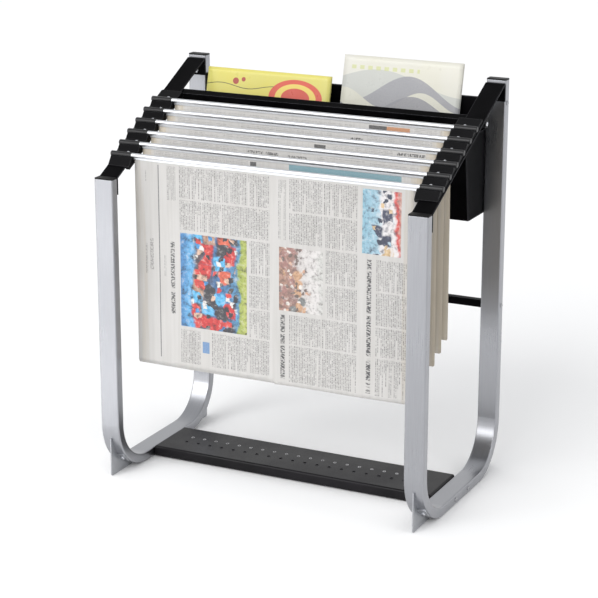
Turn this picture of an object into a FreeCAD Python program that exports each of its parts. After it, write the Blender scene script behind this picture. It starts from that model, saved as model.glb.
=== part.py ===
import FreeCAD, Part
import math
import os

# Periodical display rack: two bent tube frames carry sloping strips with notched combs.
# Hangers lie in the notches with a newspaper each, and a magazine pocket hangs behind them.
# +X is to the right, +Y to the back and +Z up. The origin is the middle of the footprint, on the floor.

V = FreeCAD.Vector
ORIGIN = V(0, 0, 0)
X_AXIS = V(1, 0, 0)
Y_AXIS = V(0, 1, 0)
Z_AXIS = V(0, 0, 1)

# Frames
rack_width = 640.0
rack_depth = 365.0
front_height = 560.0
rear_height = 730.0
tube_width = 37.0
tube_depth = 18.0
tube_wall = 2.0
tube_edge_radius = 2.5
bend_inner_radius = 80.0
cap_thickness = 2.5
cap_plug_depth = 12.0
cap_plug_clearance = 0.15
cap_edge_radius = 0.8

# Sloping strips
strip_thickness = 2.5
strip_front_rise = 2.0
strip_rear_drop = 3.0
front_flange_length = 31.0
rear_flange_length = 34.0
strip_bend_radius = 3.0
strip_edge_chamfer = 0.6
strip_front_screw_drop = 17.0
strip_rear_screw_drop = 26.0

# Combs, in strip coordinates: "along" runs uphill from the strip's front corner, "above" is off its top face
groove_count = 6
groove_pitch = 33.0
first_groove_along = 54.6
groove_axis_above = 8.8
grip_seat_gap = 0.3
groove_shoulder_above = 5.5
groove_lip_rise = 1.2
groove_lip_width = 2.6
comb_ledge_length = 11.6
comb_toe_length = 15.6
comb_toe_height = 1.5
comb_head_length = 32.4
comb_outer_margin = 2.0
comb_wing_width = 8.0
comb_wing_drop = 5.0

# Hangers
grip_radius = 5.2
grip_overhang = 1.0
grip_inboard = 4.0
grip_end_radius = 1.5
socket_depth = 12.0
left_socket_gap = 0.02
right_socket_gap = 0.15
hanger_tube_radius = 4.2
hanger_tube_wall = 0.7
slot_gap = 2.4
slot_lip_depth = 3.0
rod_radius = 2.0
rod_end_setback = 6.0
rod_grip_depth = 20.0

# Newspapers
paper_clearance = 0.3
paper_thickness = 3.0
paper_drop = 388.0
paper_side_gap = 1.0

# Magazine pocket
sheet = 1.5
pocket_top_drop = 33.0
pocket_height = 210.0
pocket_floor_depth = 71.0
pocket_side_height = 153.0
back_flange_depth = 15.0
back_rim_depth = 6.0
back_panel_setback = 0.5
back_screw_drop = 8.0
rail_depth = 12.0
rail_height = 12.0
rail_setback = 97.5
rail_panel_insert = 8.0

# Magazines
magazine_foot_setback = 52.0
magazine_seat_gap = 0.3
left_magazine_width = 256.0
left_magazine_height = 228.0
left_magazine_thickness = 6.0
left_magazine_side_gap = 6.0
right_magazine_height = 271.0
right_magazine_thickness = 8.0
right_magazine_side_gap = 45.5
magazine_spacing = 23.5

# Rear cross bar
bar_height = 14.0
bar_depth = 12.0
bar_centre_height = 315.0

# Bottom shelf
shelf_depth = 116.0
shelf_rise = 2.5
shelf_floor_gap = 2.0
shelf_corner_radius = 4.0
perforation_diameter = 5.0
perforation_pitch = 25.0
perforation_count = 20
perforation_row_spacing = 24.5
shelf_screw_spacing = 60.0

# Foot plates
foot_plate_thickness = 2.0
foot_plate_height = 73.0
foot_plate_length = 72.5
foot_corner_radius = 3.0
foot_tab_width = 15.0
foot_tab_length = 22.0
foot_tab_thickness = 2.0

# Fasteners
screw_diameter = 4.0
screw_head_diameter = 7.5
screw_head_height = 2.4
short_screw_length = 8.0
long_screw_reach = 8.0
comb_screw_diameter = 3.0
comb_screw_head_diameter = 5.6
comb_screw_head_height = 1.8
comb_screw_reach = 2.0
comb_screw_uphill = 10.6
comb_screw_inset = 10.0
hole_clearance = 0.2
screw_dome_share = 0.6
recess_width_share = 0.16
recess_length_share = 0.6
recess_depth_share = 0.5

# Places worked out from the sizes
half_width = rack_width / 2
inner_x = half_width - tube_width
frame_x = half_width - tube_width / 2
leg_face_y = rack_depth / 2
leg_inner_y = leg_face_y - tube_depth
leg_mid_y = leg_face_y - tube_depth / 2
bend_outer_radius = bend_inner_radius + tube_depth
bend_y = leg_face_y - bend_outer_radius
bend_z = bend_outer_radius
strip_front_z = front_height + strip_front_rise
strip_rear_z = rear_height - strip_rear_drop
slope = math.atan2(strip_rear_z - strip_front_z, 2 * leg_inner_y)
groove_radius = grip_radius + grip_seat_gap
comb_inner_x = inner_x - comb_wing_width
comb_outer_x = half_width - comb_outer_margin
comb_screw_x = inner_x + comb_screw_inset
grip_inner_x = inner_x - grip_inboard
grip_outer_x = half_width + grip_overhang
tube_half_length = grip_inner_x + socket_depth
paper_half_length = comb_inner_x - paper_side_gap
lip_tip = hanger_tube_radius + slot_lip_depth
back_panel_y = leg_inner_y + back_panel_setback
pocket_top_z = rear_height - pocket_top_drop
pocket_floor_z = pocket_top_z - pocket_height
pocket_inner_x = inner_x - sheet
pocket_front_y = back_panel_y - pocket_floor_depth
rail_front_y = leg_inner_y - rail_setback
rail_rear_y = rail_front_y + rail_depth
shelf_top_z = tube_depth + shelf_rise


# ---- shared helpers ----

def box(x0, x1, y0, y1, z0, z1):
    return Part.makeBox(x1 - x0, y1 - y0, z1 - z0, V(x0, y0, z0))


def x_cylinder(radius, x0, x1, y=0.0, z=0.0):
    return Part.makeCylinder(radius, x1 - x0, V(x0, y, z), X_AXIS)


def near(value, target):
    return abs(value - target) < 0.01


# A face in the YZ plane, given as (y, z) corners, pushed from x0 to x1.
def side_prism(corners, x0, x1):
    points = [V(x0, y, z) for y, z in corners]
    outline = Part.makePolygon(points + points[:1])
    return Part.Face(outline).extrude(V(x1 - x0, 0, 0))


def mirrored(shape):
    return shape.mirror(ORIGIN, X_AXIS)


def moved(shape, offset):
    copy = shape.copy()
    copy.translate(offset)
    return copy


def rounded_rectangle(x0, x1, y0, y1, radius):
    k = radius * (1 - math.sqrt(0.5))
    corners = ((x1, y0, -1, 1), (x1, y1, -1, -1), (x0, y1, 1, -1), (x0, y0, 1, 1))
    edges = []
    ends = []
    for number, (x, y, sx, sy) in enumerate(corners):
        along_x = V(x + sx * radius, y, 0)
        along_y = V(x, y + sy * radius, 0)
        start, end = (along_x, along_y) if number % 2 == 0 else (along_y, along_x)
        edges.append(Part.Arc(start, V(x + sx * k, y + sy * k, 0), end).toShape())
        ends.append((start, end))
    for number in range(4):
        edges.append(Part.LineSegment(ends[number][1], ends[(number + 1) % 4][0]).toShape())
    return Part.Face(Part.Wire(Part.__sortEdges__(edges)))


def on_slope(along, above):
    y = -leg_inner_y + along * math.cos(slope) - above * math.sin(slope)
    z = strip_front_z + along * math.sin(slope) + above * math.cos(slope)
    return y, z


# Height of the strip's underside over a place on the Y axis.
def strip_underside(y):
    return strip_front_z + (y + leg_inner_y) * math.tan(slope) - strip_thickness / math.cos(slope)


def groove_along(number):
    return first_groove_along + (groove_count - number) * groove_pitch


def groove_axis(number):
    return on_slope(groove_along(number), groove_axis_above)


# ---- screws ----

# A pan head screw with a cross recess, its seat at the origin and its head pointing along +Z.
def screw_shape(diameter, head_diameter, head_height, length):
    head = Part.makeCylinder(head_diameter / 2, head_height)
    rim = [edge for edge in head.Edges if edge.Closed and near(edge.CenterOfMass.z, head_height)]
    head = head.makeFillet(head_height * screw_dome_share, rim[:1])
    shank = Part.makeCylinder(diameter / 2, length, V(0, 0, -length))
    long = head_diameter * recess_length_share / 2
    narrow = head_diameter * recess_width_share / 2
    floor = head_height * recess_depth_share
    for half_x, half_y in ((long, narrow), (narrow, long)):
        head = head.cut(box(-half_x, half_x, -half_y, half_y, floor, head_height + 1))
    return head.fuse(shank).removeSplitter()


def placed(shape, seat, direction):
    copy = shape.copy()
    copy.Placement = FreeCAD.Placement(seat, FreeCAD.Rotation(Z_AXIS, direction))
    return copy


def screw_hole(seat, direction, diameter, length):
    inward = V(direction).multiply(-1)
    start = V(seat) - inward
    return Part.makeCylinder(diameter / 2 + hole_clearance, length + 2, start, inward)


# Seat and outward direction of every short screw, grouped by what it holds.
def strip_screw_seats(side):
    front_z = strip_front_z - strip_front_screw_drop
    rear_z = strip_rear_z - strip_rear_screw_drop
    front = (V(side * frame_x, -leg_inner_y + strip_thickness, front_z), Y_AXIS)
    rear = (V(side * frame_x, leg_inner_y - strip_thickness, rear_z), V(0, -1, 0))
    return [front, rear]


def rail_screw_seats(side):
    middle_y = (rail_front_y + rail_rear_y) / 2
    middle_z = strip_underside(rail_front_y) - rail_height / 2
    return [(V(side * half_width, middle_y, middle_z), V(side, 0, 0))]


def foot_screw_seats(side):
    reach = (bend_outer_radius + foot_tab_thickness) * math.sqrt(0.5)
    drop = math.sqrt(0.5)
    offset = foot_plate_thickness / 2 + foot_tab_width / 2
    front = (V(side * frame_x + offset, -bend_y - reach, bend_z - reach), V(0, -drop, -drop))
    rear = (V(side * frame_x - offset, bend_y + reach, bend_z - reach), V(0, drop, -drop))
    return [front, rear]


def long_screw_seats(side):
    out = V(side, 0, 0)
    x = side * half_width
    spots = [
        (leg_mid_y, pocket_top_z - back_screw_drop),
        (leg_mid_y, bar_centre_height),
        (-shelf_screw_spacing / 2, tube_depth / 2),
        (shelf_screw_spacing / 2, tube_depth / 2),
    ]
    return [(V(x, y, z), out) for y, z in spots]


def comb_screw_seats(side):
    up = V(0, -math.sin(slope), math.cos(slope))
    seats = []
    for number in range(1, groove_count + 1):
        y, z = on_slope(groove_along(number) + comb_screw_uphill, groove_shoulder_above)
        seats.append((V(side * comb_screw_x, y, z), up))
    return seats


long_screw_length = tube_width + long_screw_reach
comb_screw_length = groove_shoulder_above + strip_thickness + comb_screw_reach


def short_holes(side):
    seats = strip_screw_seats(side) + rail_screw_seats(side) + foot_screw_seats(side)
    return [screw_hole(seat, out, screw_diameter, short_screw_length) for seat, out in seats]


def long_holes(side):
    return [screw_hole(seat, out, screw_diameter, long_screw_length) for seat, out in long_screw_seats(side)]


def comb_holes(side):
    return [screw_hole(seat, out, comb_screw_diameter, comb_screw_length)
            for seat, out in comb_screw_seats(side)]


def screw_group(seat_list, diameter, head_diameter, head_height, length):
    screw = screw_shape(diameter, head_diameter, head_height, length)
    return Part.Compound([placed(screw, seat, out) for seat, out in seat_list])


def both_sides(seats):
    return seats(-1) + seats(1)


def short_screws():
    seats = both_sides(strip_screw_seats) + both_sides(rail_screw_seats) + both_sides(foot_screw_seats)
    return screw_group(seats, screw_diameter, screw_head_diameter, screw_head_height, short_screw_length)


def long_screws():
    seats = both_sides(long_screw_seats)
    return screw_group(seats, screw_diameter, screw_head_diameter, screw_head_height, long_screw_length)


def comb_screws():
    seats = both_sides(comb_screw_seats)
    return screw_group(seats, comb_screw_diameter, comb_screw_head_diameter, comb_screw_head_height,
                       comb_screw_length)


# ---- bent tube frames and their caps ----

def tube_section(inset, radius):
    return rounded_rectangle(-tube_width / 2 + inset, tube_width / 2 - inset,
                             leg_inner_y + inset, leg_face_y - inset, radius)


# The frame's solid path for one size of section: rear leg, bend, floor run, bend, front leg.
def bent_path(inset, radius, extra):
    rear = moved(tube_section(inset, radius), V(0, 0, bend_z))
    front = rear.copy()
    front.rotate(ORIGIN, Z_AXIS, 180)
    rear_leg = rear.extrude(V(0, 0, rear_height - bend_z + extra))
    front_leg = front.extrude(V(0, 0, front_height - bend_z + extra))
    rear_bend = rear.revolve(V(0, bend_y, bend_z), X_AXIS, -90)
    front_bend = front.revolve(V(0, -bend_y, bend_z), X_AXIS, 90)
    run_face = front.copy()
    run_face.rotate(V(0, -bend_y, bend_z), X_AXIS, 90)
    floor_run = run_face.extrude(V(0, 2 * bend_y, 0))
    return rear_leg.fuse([rear_bend, floor_run, front_bend, front_leg]).removeSplitter()


def frame(side):
    bore_radius = max(tube_edge_radius - tube_wall, 0.3)
    tube = bent_path(0.0, tube_edge_radius, 0.0).cut(bent_path(tube_wall, bore_radius, 1.0))
    tube.translate(V(side * frame_x, 0, 0))
    return tube.cut(long_holes(side) + short_holes(side))


def end_cap(side, end):
    top = rear_height if end > 0 else front_height
    plate = tube_section(0.0, tube_edge_radius).extrude(V(0, 0, cap_thickness))
    rim = [edge for edge in plate.Edges if near(edge.CenterOfMass.z, cap_thickness)]
    plate = plate.makeFillet(cap_edge_radius, rim)
    inset = tube_wall + cap_plug_clearance
    plug = rounded_rectangle(-tube_width / 2 + inset, tube_width / 2 - inset,
                             leg_inner_y + inset, leg_face_y - inset, cap_edge_radius)
    cap = plate.fuse(plug.extrude(V(0, 0, -cap_plug_depth)))
    if end < 0:
        cap.rotate(ORIGIN, Z_AXIS, 180)
    return moved(cap, V(side * frame_x, 0, top))


# ---- sloping strips and combs ----

def slope_strip():
    inner_y = leg_inner_y - strip_thickness
    corners = [
        (-leg_inner_y, strip_front_z - front_flange_length),
        (-leg_inner_y, strip_front_z),
        (leg_inner_y, strip_rear_z),
        (leg_inner_y, strip_rear_z - rear_flange_length),
        (inner_y, strip_rear_z - rear_flange_length),
        (inner_y, strip_underside(inner_y)),
        (-inner_y, strip_underside(-inner_y)),
        (-inner_y, strip_front_z - front_flange_length),
    ]
    plate = side_prism(corners, inner_x, half_width)
    bends = [edge for edge in plate.Edges if is_outer_bend(edge)]
    plate = plate.makeFillet(strip_bend_radius, bends)
    long_edges = [edge for edge in plate.Edges if is_outer_top_edge(edge)]
    plate = plate.makeChamfer(strip_edge_chamfer, long_edges)
    lug = side_prism(rail_end_corners(rail_front_y, rail_rear_y), half_width - strip_thickness, half_width)
    strip = plate.fuse(lug).removeSplitter()
    return strip.cut(short_holes(1) + comb_holes(1))


def is_outer_bend(edge):
    middle = edge.CenterOfMass
    front = near(middle.y, -leg_inner_y) and near(middle.z, strip_front_z)
    rear = near(middle.y, leg_inner_y) and near(middle.z, strip_rear_z)
    return near(edge.Length, tube_width) and (front or rear)


def is_outer_top_edge(edge):
    middle = edge.CenterOfMass
    top_z = strip_underside(middle.y) + strip_thickness / math.cos(slope)
    return near(middle.z, top_z) and near(middle.x, half_width) and edge.Length > leg_inner_y


# The rail's end outline: upright front and rear faces, flat below, sloping with the strip above.
def rail_end_corners(front_y, rear_y):
    bottom = strip_underside(rail_front_y) - rail_height
    return [(front_y, bottom), (rear_y, bottom), (rear_y, strip_underside(rear_y)),
            (front_y, strip_underside(front_y))]


# The notched top line of a comb, from its toe at the front to its head at the back.
def comb_top_edges(x):
    def point(along, above):
        return V(x, *on_slope(along, above))

    lip_above = groove_axis_above + groove_lip_rise
    shoulder_drop = groove_axis_above - groove_shoulder_above
    shoulder_out = math.sqrt(groove_radius ** 2 - shoulder_drop ** 2)
    toe = first_groove_along - groove_radius - groove_lip_width - comb_toe_length
    edges = []
    last = point(toe, comb_toe_height)
    for step in range(groove_count):
        centre = first_groove_along + step * groove_pitch
        wall = centre - groove_radius
        lip_front = point(wall - groove_lip_width, lip_above)
        lip_back = point(wall, lip_above)
        wall_foot = point(wall, groove_axis_above)
        shoulder = point(centre + shoulder_out, groove_shoulder_above)
        ledge = comb_ledge_length if step < groove_count - 1 else comb_head_length - shoulder_out
        ledge_end = point(centre + shoulder_out + ledge, groove_shoulder_above)
        for start, end in ((last, lip_front), (lip_front, lip_back), (lip_back, wall_foot)):
            edges.append(Part.LineSegment(start, end).toShape())
        bottom = point(centre, groove_axis_above - groove_radius)
        edges.append(Part.Arc(wall_foot, bottom, shoulder).toShape())
        edges.append(Part.LineSegment(shoulder, ledge_end).toShape())
        last = ledge_end
    return edges


def comb_slab(base_above, x0, x1):
    edges = comb_top_edges(x0)
    head_along = first_groove_along + (groove_count - 1) * groove_pitch + comb_head_length
    toe_along = first_groove_along - groove_radius - groove_lip_width - comb_toe_length
    corners = [
        V(x0, *on_slope(head_along, groove_shoulder_above)),
        V(x0, *on_slope(head_along, base_above)),
        V(x0, *on_slope(toe_along, base_above)),
        V(x0, *on_slope(toe_along, comb_toe_height)),
    ]
    for start, end in zip(corners, corners[1:]):
        edges.append(Part.LineSegment(start, end).toShape())
    outline = Part.Wire(Part.__sortEdges__(edges))
    return Part.Face(outline).extrude(V(x1 - x0, 0, 0))


def hanger_comb():
    body = comb_slab(0.0, inner_x, comb_outer_x)
    wing = comb_slab(-comb_wing_drop, comb_inner_x, inner_x)
    return body.fuse(wing).removeSplitter().cut(comb_holes(1))


# ---- hangers ----

# Slotted tube along X with two lips under the slot, its axis at the origin.
def hanger_tube():
    lip_outer = slot_gap / 2 + hanger_tube_wall
    tube = x_cylinder(hanger_tube_radius, -tube_half_length, tube_half_length)
    lips = box(-paper_half_length, paper_half_length, -lip_outer, lip_outer, -lip_tip, 0)
    bore = x_cylinder(hanger_tube_radius - hanger_tube_wall, -tube_half_length - 1, tube_half_length + 1)
    slot = box(-tube_half_length - 1, tube_half_length + 1, -slot_gap / 2, slot_gap / 2, -lip_tip - 1, 0)
    return tube.fuse(lips).removeSplitter().cut([bore, slot])


def grip_blank(gap):
    blank = x_cylinder(grip_radius, grip_inner_x, grip_outer_x)
    rim = [edge for edge in blank.Edges if edge.Closed and near(edge.CenterOfMass.x, grip_outer_x)]
    blank = blank.makeFillet(grip_end_radius, rim[:1])
    socket = x_cylinder(hanger_tube_radius + gap, grip_inner_x - 1, tube_half_length + gap)
    return blank.cut(socket)


def left_grip():
    return mirrored(grip_blank(left_socket_gap))


def right_grip():
    bore = x_cylinder(rod_radius, tube_half_length, tube_half_length + rod_grip_depth)
    return grip_blank(right_socket_gap).cut(bore)


def hanger_rod():
    return x_cylinder(rod_radius, rod_end_setback - tube_half_length, tube_half_length + rod_grip_depth)


# The paper's centre fold loops over the rod, leaves through the slot and hangs down.
def newspaper():
    half = paper_half_length
    neck = slot_gap / 2 - paper_clearance
    fold = x_cylinder(hanger_tube_radius - hanger_tube_wall - paper_clearance, -half, half)
    throat = box(-half, half, -neck, neck, -lip_tip - paper_clearance, 0)
    pages = box(-half, half, -paper_thickness / 2, paper_thickness / 2,
                -paper_drop, -lip_tip - paper_clearance)
    eye = x_cylinder(rod_radius + paper_clearance, -half - 1, half + 1)
    return fold.fuse([throat, pages]).removeSplitter().cut(eye)


# ---- magazine pocket ----

# Outer face of the leaning front panel, from the pocket's floor up into the rail.
def front_panel_y(z):
    top_z = strip_underside(rail_front_y) - rail_height + rail_panel_insert
    top_y = rail_front_y + sheet
    share = (z - pocket_floor_z) / (top_z - pocket_floor_z)
    return pocket_front_y + (top_y - pocket_front_y) * share


def front_panel_run():
    top_z = strip_underside(rail_front_y) - rail_height + rail_panel_insert
    rise = top_z - pocket_floor_z
    lean = front_panel_y(pocket_floor_z) - front_panel_y(top_z)
    return top_z, sheet * math.hypot(rise, lean) / rise


def pocket_front_panel():
    top_z, skin = front_panel_run()
    bottom_y = front_panel_y(pocket_floor_z)
    top_y = front_panel_y(top_z)
    corners = [(bottom_y, pocket_floor_z), (bottom_y + skin, pocket_floor_z), (top_y + skin, top_z),
               (top_y, top_z)]
    return side_prism(corners, -pocket_inner_x, pocket_inner_x)


def pocket_bottom_panel():
    skin = front_panel_run()[1]
    upper_z = pocket_floor_z + sheet
    corners = [(front_panel_y(pocket_floor_z) + skin, pocket_floor_z), (back_panel_y, pocket_floor_z),
               (back_panel_y, upper_z), (front_panel_y(upper_z) + skin, upper_z)]
    return side_prism(corners, -pocket_inner_x, pocket_inner_x)


def pocket_side_panel():
    top_z = pocket_floor_z + pocket_side_height
    corners = [(front_panel_y(pocket_floor_z), pocket_floor_z), (back_panel_y, pocket_floor_z),
               (back_panel_y, top_z), (front_panel_y(top_z), top_z)]
    return side_prism(corners, pocket_inner_x, inner_x)


def pocket_back_panel():
    rear_y = back_panel_y + back_flange_depth
    panel = box(-inner_x, inner_x, back_panel_y, back_panel_y + sheet, pocket_floor_z, pocket_top_z)
    left = box(-inner_x, -pocket_inner_x, back_panel_y, rear_y, pocket_floor_z, pocket_top_z)
    right = box(pocket_inner_x, inner_x, back_panel_y, rear_y, pocket_floor_z, pocket_top_z)
    rim = box(-inner_x, inner_x, back_panel_y, back_panel_y + back_rim_depth,
              pocket_top_z - sheet, pocket_top_z)
    return panel.fuse([left, right, rim]).removeSplitter().cut(long_holes(-1) + long_holes(1))


# An inverted channel under both strips; the front panel's top edge stands in it.
def pocket_rim_rail():
    half = half_width - strip_thickness
    rail = side_prism(rail_end_corners(rail_front_y, rail_rear_y), -half, half)
    front_y = rail_front_y + sheet
    rear_y = rail_rear_y - sheet
    floor = strip_underside(rail_front_y) - rail_height - 1
    roof_drop = sheet / math.cos(slope)
    corners = [(front_y, floor), (rear_y, floor), (rear_y, strip_underside(rear_y) - roof_drop),
               (front_y, strip_underside(front_y) - roof_drop)]
    hollow = side_prism(corners, -half + sheet, half - sheet)
    return rail.cut([hollow] + short_holes(-1) + short_holes(1))


# A magazine stands on its back edge and leans on the back panel's top edge.
magazine_floor_z = pocket_floor_z + sheet + magazine_seat_gap
magazine_foot_y = back_panel_y - magazine_foot_setback
magazine_lean = math.atan2(magazine_foot_setback - magazine_seat_gap, pocket_top_z - magazine_floor_z)


def magazine(left_x, width, height, thickness):
    slab = box(left_x, left_x + width, -thickness, 0, 0, height)
    slab.rotate(ORIGIN, X_AXIS, -math.degrees(magazine_lean))
    return moved(slab, V(0, magazine_foot_y, magazine_floor_z))


def left_magazine():
    left_x = -pocket_inner_x + left_magazine_side_gap
    return magazine(left_x, left_magazine_width, left_magazine_height, left_magazine_thickness)


# The right magazine takes what the left one and the gaps leave of the pocket's width.
def right_magazine():
    left_x = -pocket_inner_x + left_magazine_side_gap + left_magazine_width + magazine_spacing
    width = pocket_inner_x - right_magazine_side_gap - left_x
    return magazine(left_x, width, right_magazine_height, right_magazine_thickness)


# ---- cross bar, shelf and feet ----

def rear_cross_bar():
    half_y = bar_depth / 2
    bar = box(-inner_x, inner_x, leg_mid_y - half_y, leg_mid_y + half_y,
              bar_centre_height - bar_height / 2, bar_centre_height + bar_height / 2)
    return bar.cut(long_holes(-1) + long_holes(1))


# A box open below, with rounded top edges and corners.
def tray_block(half_x, half_y, z0, z1, radius):
    block = box(-half_x, half_x, -half_y, half_y, z0, z1)
    rounded = [edge for edge in block.Edges if not near(edge.CenterOfMass.z, z0)]
    return block.makeFillet(radius, rounded)


def bottom_shelf():
    half_y = shelf_depth / 2
    outer = tray_block(inner_x, half_y, shelf_floor_gap, shelf_top_z, shelf_corner_radius)
    inner = tray_block(inner_x - sheet, half_y - sheet, shelf_floor_gap - 1, shelf_top_z - sheet,
                       shelf_corner_radius - sheet)
    holes = []
    first_x = -perforation_pitch * (perforation_count - 1) / 2
    for column in range(perforation_count):
        for side in (-1, 1):
            base = V(first_x + column * perforation_pitch, side * perforation_row_spacing / 2,
                     shelf_top_z - sheet - 1)
            holes.append(Part.makeCylinder(perforation_diameter / 2, sheet + 2, base, Z_AXIS))
    return outer.cut([inner] + holes + long_holes(-1) + long_holes(1))


# A point on the bend's outer face, at an angle below the horizontal, in the front half.
def on_bend(angle, radius):
    return -bend_y - radius * math.cos(angle), bend_z - radius * math.sin(angle)


# A thin plate that squares off the frame's front bend, with a curved tab to its right.
def foot_plate():
    radius = bend_outer_radius
    top_angle = math.asin((bend_z - foot_plate_height) / radius)
    end_y = -leg_face_y + foot_plate_length
    end_angle = math.acos((-bend_y - end_y) / radius)
    x = -foot_plate_thickness / 2

    def point(y, z):
        return V(x, y, z)

    arc_top = point(*on_bend(top_angle, radius))
    arc_middle = point(*on_bend((top_angle + end_angle) / 2, radius))
    arc_end = point(*on_bend(end_angle, radius))
    corner = foot_corner_radius
    corner_inset = corner * (1 - math.sqrt(0.5))
    floor_start = point(-leg_face_y + corner, 0)
    wall_start = point(-leg_face_y, corner)
    top = point(-leg_face_y, foot_plate_height)
    floor_end = point(end_y, 0)
    edges = [
        Part.Arc(arc_top, arc_middle, arc_end).toShape(),
        Part.LineSegment(arc_end, floor_end).toShape(),
        Part.LineSegment(floor_end, floor_start).toShape(),
        Part.Arc(floor_start, point(-leg_face_y + corner_inset, corner_inset), wall_start).toShape(),
        Part.LineSegment(wall_start, top).toShape(),
        Part.LineSegment(top, arc_top).toShape(),
    ]
    plate = Part.Face(Part.Wire(edges)).extrude(V(foot_plate_thickness, 0, 0))
    return plate.fuse(foot_tab()).removeSplitter()


def foot_tab():
    half_angle = foot_tab_length / 2 / bend_outer_radius
    angles = (math.pi / 4 - half_angle, math.pi / 4, math.pi / 4 + half_angle)
    inner = [V(0, *on_bend(angle, bend_outer_radius)) for angle in angles]
    outer = [V(0, *on_bend(angle, bend_outer_radius + foot_tab_thickness)) for angle in angles]
    edges = [
        Part.Arc(*inner).toShape(),
        Part.LineSegment(inner[2], outer[2]).toShape(),
        Part.Arc(outer[2], outer[1], outer[0]).toShape(),
        Part.LineSegment(outer[0], inner[0]).toShape(),
    ]
    return Part.Face(Part.Wire(edges)).extrude(V(foot_plate_thickness / 2 + foot_tab_width, 0, 0))


# The same plate serves all four bends; at the back it is turned half round.
def placed_foot_plate(side, end):
    plate = foot_plate()
    if end > 0:
        plate.rotate(ORIGIN, Z_AXIS, 180)
    return moved(plate, V(side * frame_x, 0, 0)).cut(short_holes(side))


# ---- every sub-part by name ----

def build_parts():
    strip = slope_strip()
    comb = hanger_comb()
    side_panel = pocket_side_panel()
    parts = {
        "left_frame": frame(-1),
        "right_frame": frame(1),
        "left_slope_strip": mirrored(strip),
        "right_slope_strip": strip,
        "left_hanger_comb": mirrored(comb),
        "right_hanger_comb": comb,
        "pocket_back_panel": pocket_back_panel(),
        "pocket_front_panel": pocket_front_panel(),
        "pocket_bottom_panel": pocket_bottom_panel(),
        "pocket_left_side": mirrored(side_panel),
        "pocket_right_side": side_panel,
        "pocket_rim_rail": pocket_rim_rail(),
        "rear_cross_bar": rear_cross_bar(),
        "bottom_shelf": bottom_shelf(),
        "short_screws": short_screws(),
        "long_screws": long_screws(),
        "comb_screws": comb_screws(),
        "magazine_left": left_magazine(),
        "magazine_right": right_magazine(),
    }
    for side, side_name in ((-1, "left"), (1, "right")):
        for end, end_name in ((-1, "front"), (1, "rear")):
            parts[f"{side_name}_{end_name}_end_cap"] = end_cap(side, end)
            parts[f"{side_name}_{end_name}_foot_plate"] = placed_foot_plate(side, end)
    hanger = {
        "hanger_tube": hanger_tube(),
        "left_grip": left_grip(),
        "right_grip": right_grip(),
        "hanger_rod": hanger_rod(),
        "newspaper": newspaper(),
    }
    for number in range(1, groove_count + 1):
        axis_y, axis_z = groove_axis(number)
        for name, shape in hanger.items():
            parts[f"{name}_{number}"] = moved(shape, V(0, axis_y, axis_z))
    return parts


os.makedirs("parts", exist_ok=True)
for node, shape in build_parts().items():
    shape.exportStep(f"parts/{node}.step")
    print(node, len(shape.Solids), round(shape.Volume), shape.isValid())
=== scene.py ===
import math
import random
from functools import partial

import bmesh
import bpy
import numpy as np
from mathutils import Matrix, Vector, noise


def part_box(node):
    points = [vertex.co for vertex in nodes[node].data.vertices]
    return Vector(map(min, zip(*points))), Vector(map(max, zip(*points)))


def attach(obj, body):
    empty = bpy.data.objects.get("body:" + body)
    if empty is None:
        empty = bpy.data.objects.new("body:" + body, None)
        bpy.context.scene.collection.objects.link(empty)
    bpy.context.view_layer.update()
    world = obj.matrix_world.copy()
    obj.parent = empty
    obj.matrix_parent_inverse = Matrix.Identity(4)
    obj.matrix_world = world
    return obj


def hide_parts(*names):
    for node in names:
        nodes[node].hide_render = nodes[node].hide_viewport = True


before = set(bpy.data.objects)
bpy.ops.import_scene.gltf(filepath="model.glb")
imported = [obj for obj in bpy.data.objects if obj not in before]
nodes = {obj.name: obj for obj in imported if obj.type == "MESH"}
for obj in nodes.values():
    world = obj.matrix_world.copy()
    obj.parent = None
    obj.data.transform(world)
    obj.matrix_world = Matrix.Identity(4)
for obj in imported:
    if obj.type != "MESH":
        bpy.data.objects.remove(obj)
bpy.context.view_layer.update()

scene = bpy.context.scene

# Camera, floor and lamps, which don't show themselves. The floor lamp and the near lamp light the patch of
# floor that the front faces of the legs mirror
studio = dict(
    cameraPlace=(1.516, -3.092, 1.3535), azimuth=26.2, elevation=16.53, lens=119.2, sensorWidth=36,
    floorSize=60, floorHeight=-0.0005, floorDark=(0.955, 0.955, 0.955), floorLight=(0.98, 0.98, 0.98),
    skyHigh=(0.88, 0.89, 0.91), skyLow=(1.2, 1.2, 1.2), skyStrength=0.82,
    broadLamp=dict(place=(-0.7, -2.6, 2.2), along=(0.22, 0.82, -0.52), spread=45, strength=1.5),
    lamps=dict(
        keyLamp=dict(place=(-1.9, -2.6, 3), aim=(0, 0, 0.45), size=1.7, power=2),
        topLamp=dict(place=(0.1, -1, 3.2), aim=(0, 0, 0.5), size=1.6, power=4),
        sideLamp=dict(place=(2.9, -0.4, 1.7), aim=(0, 0, 0.4), size=0.9, power=6),
        floorLamp=dict(place=(-1.4, -1.75, 0.66), aim=(-1.35, -1.75, 0), size=1.1, power=15),
        nearLamp=dict(place=(-0.65, -0.6, 0.5), aim=(-0.65, -0.6, 0), size=0.5, power=1.05, beam=80),
    ),
)


def addObject(name, data):
    piece = bpy.data.objects.new(name, data)
    scene.collection.objects.link(piece)
    return piece


def keepMesh(name, mesh):
    data = bpy.data.meshes.new(name)
    mesh.to_mesh(data)
    mesh.free()
    return data


def thicken(piece, name, thickness):
    thick = piece.modifiers.new(name, "SOLIDIFY")
    thick.thickness = thickness
    thick.offset = 0


def stand(data, place, along):
    piece = addObject(data.name, data)
    piece.location = place
    piece.rotation_mode = "QUATERNION"
    piece.rotation_quaternion = along.to_track_quat("-Z", "Y")
    return piece


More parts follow.
